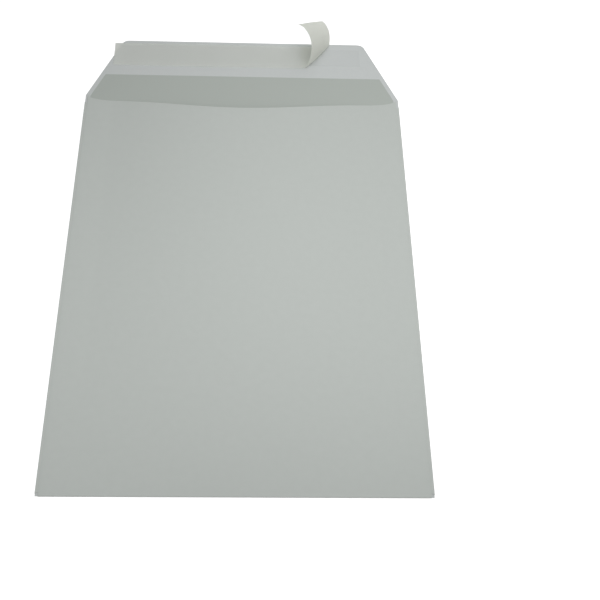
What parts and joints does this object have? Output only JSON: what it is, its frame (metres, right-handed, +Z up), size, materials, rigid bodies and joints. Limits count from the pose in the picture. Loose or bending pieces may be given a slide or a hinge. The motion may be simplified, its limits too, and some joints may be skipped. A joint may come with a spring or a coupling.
{
  "type": "peel and seal envelope",
  "caption": "Plain pocket envelope, face down with its trapezoid flap open and the release liner over its adhesive band peeled back at one end.",
  "frame": {"origin": "centre of the 229 by 324 mm body on its underside, which is the outer face of the front panel, lying on the table", "axes": "+X to the right across the body, +Y from the body towards the open flap, +Z up from the table"},
  "size_m": [0.229, 0.3989, 0.0201],
  "materials": {
    "paper": null,
    "seam_glue": "dried seam gum, clear to cream",
    "adhesive": "clear rubber-based pressure-sensitive adhesive, smooth and slightly glossy",
    "liner": "pale siliconised glassine release liner, translucent with a soft sheen"
  },
  "bodies": {
    "pocket": {"front_panel": "paper", "back_panel": "paper", "left_seam_flap": "paper", "right_seam_flap": "paper", "left_seam_glue": "seam_glue", "right_seam_glue": "seam_glue"},
    "flap": {"seal_flap": "paper", "adhesive_strip": "adhesive", "liner_bonded": "liner"},
    "loose_liner": {"liner_tail": "liner"}
  },
  "joints": [
    {"name": "flap_fold", "type": "hinge", "parent": "pocket", "child": "flap", "pos_m": [0, 0.162, 0.00065], "axis": [1, 0, 0], "range_deg": [0, 180], "deforming": ["back_panel", "liner_tail"]},
    {"name": "liner_peel", "type": "slide", "parent": "flap", "child": "loose_liner", "axis": [-1, 0, 0], "range_m": [0, 0.139], "deforming": ["liner_bonded"]}
  ]
}
